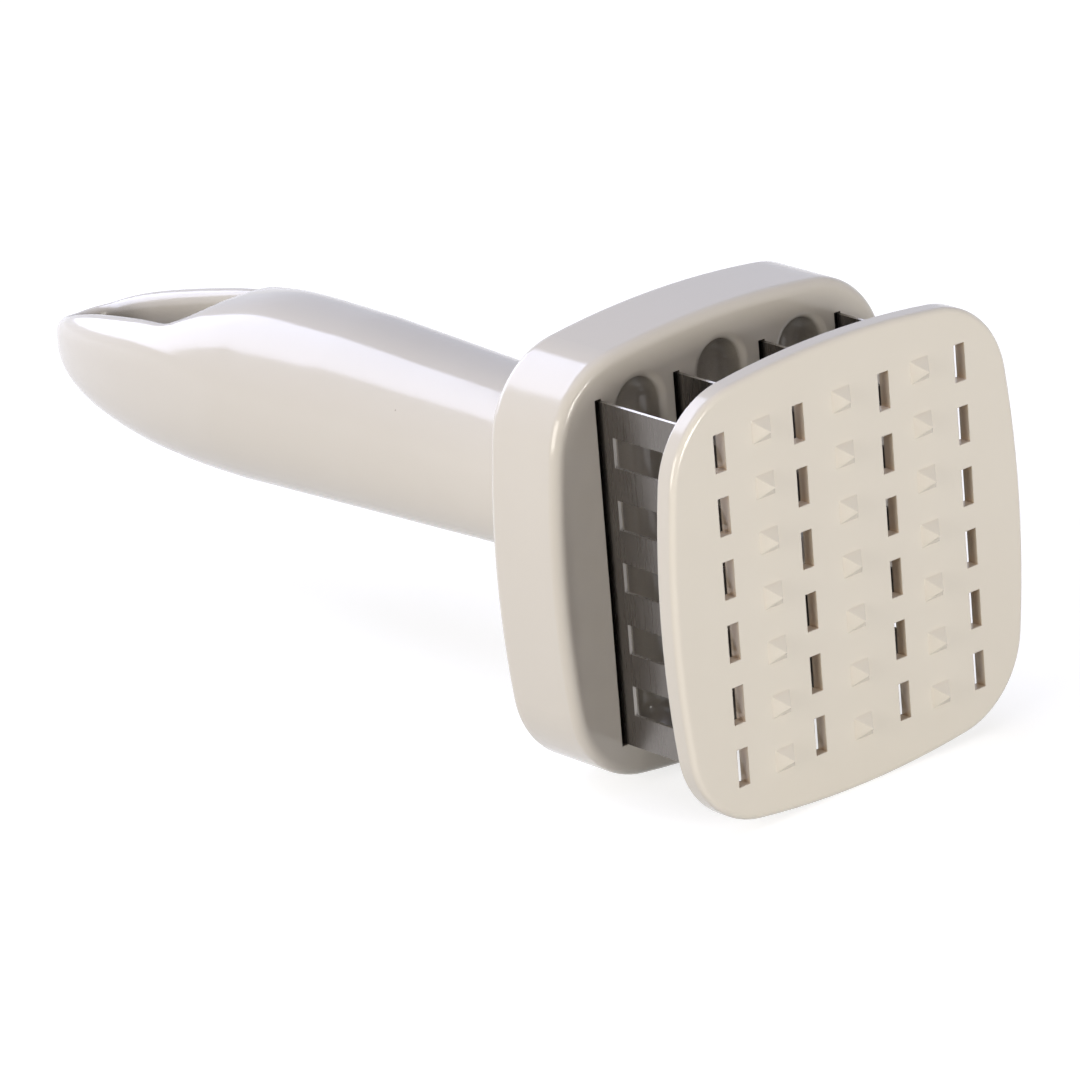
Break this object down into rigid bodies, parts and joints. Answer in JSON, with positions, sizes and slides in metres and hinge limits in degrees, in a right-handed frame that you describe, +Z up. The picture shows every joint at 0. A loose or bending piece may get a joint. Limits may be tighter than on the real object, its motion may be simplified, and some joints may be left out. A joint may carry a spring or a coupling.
{
  "type": "blade meat tenderizer",
  "caption": "Hand tool that pushes rows of thin steel blades through a sprung, slotted guard plate; straight grip with a hanging eye.",
  "frame": {"origin": "centre of the guard plate's flat front face, at the foot of its studs, with the guard fully out", "axes": "+X is the way the blades strike and the way the guard faces, +Y runs across the four blade strips, +Z is up along the strips, with the tool lying on its side; the handle runs along -X"},
  "size_m": [0.1941, 0.0718, 0.0718],
  "materials": {
    "cream_abs": "moulded, glossy, warm off-white",
    "blade_steel": "polished stainless sheet",
    "white_acetal": "moulded, matt, natural white",
    "bright_steel": "bright stainless fasteners and wire"
  },
  "bodies": {
    "head": {"head_housing": "cream_abs", "handle_body": "cream_abs", "blade_strip_1": "blade_steel", "blade_strip_2": "blade_steel", "blade_strip_3": "blade_steel", "blade_strip_4": "blade_steel", "guide_bush": "white_acetal", "blade_carrier": "white_acetal", "return_spring": "bright_steel", "carrier_screws": "bright_steel", "handle_screws": "bright_steel"},
    "guard": {"guard_plate": "cream_abs", "guide_stem": "white_acetal", "stem_pin": "bright_steel", "stop_washer": "bright_steel", "stop_screw": "bright_steel"}
  },
  "joints": [
    {"name": "guard_slide", "type": "slide", "parent": "head", "child": "guard", "axis": [-1, 0, 0], "range_m": [0, 0.0214], "stiffness_N_per_m": 650, "springref_m": -0.008, "deforming": ["return_spring"]}
  ]
}
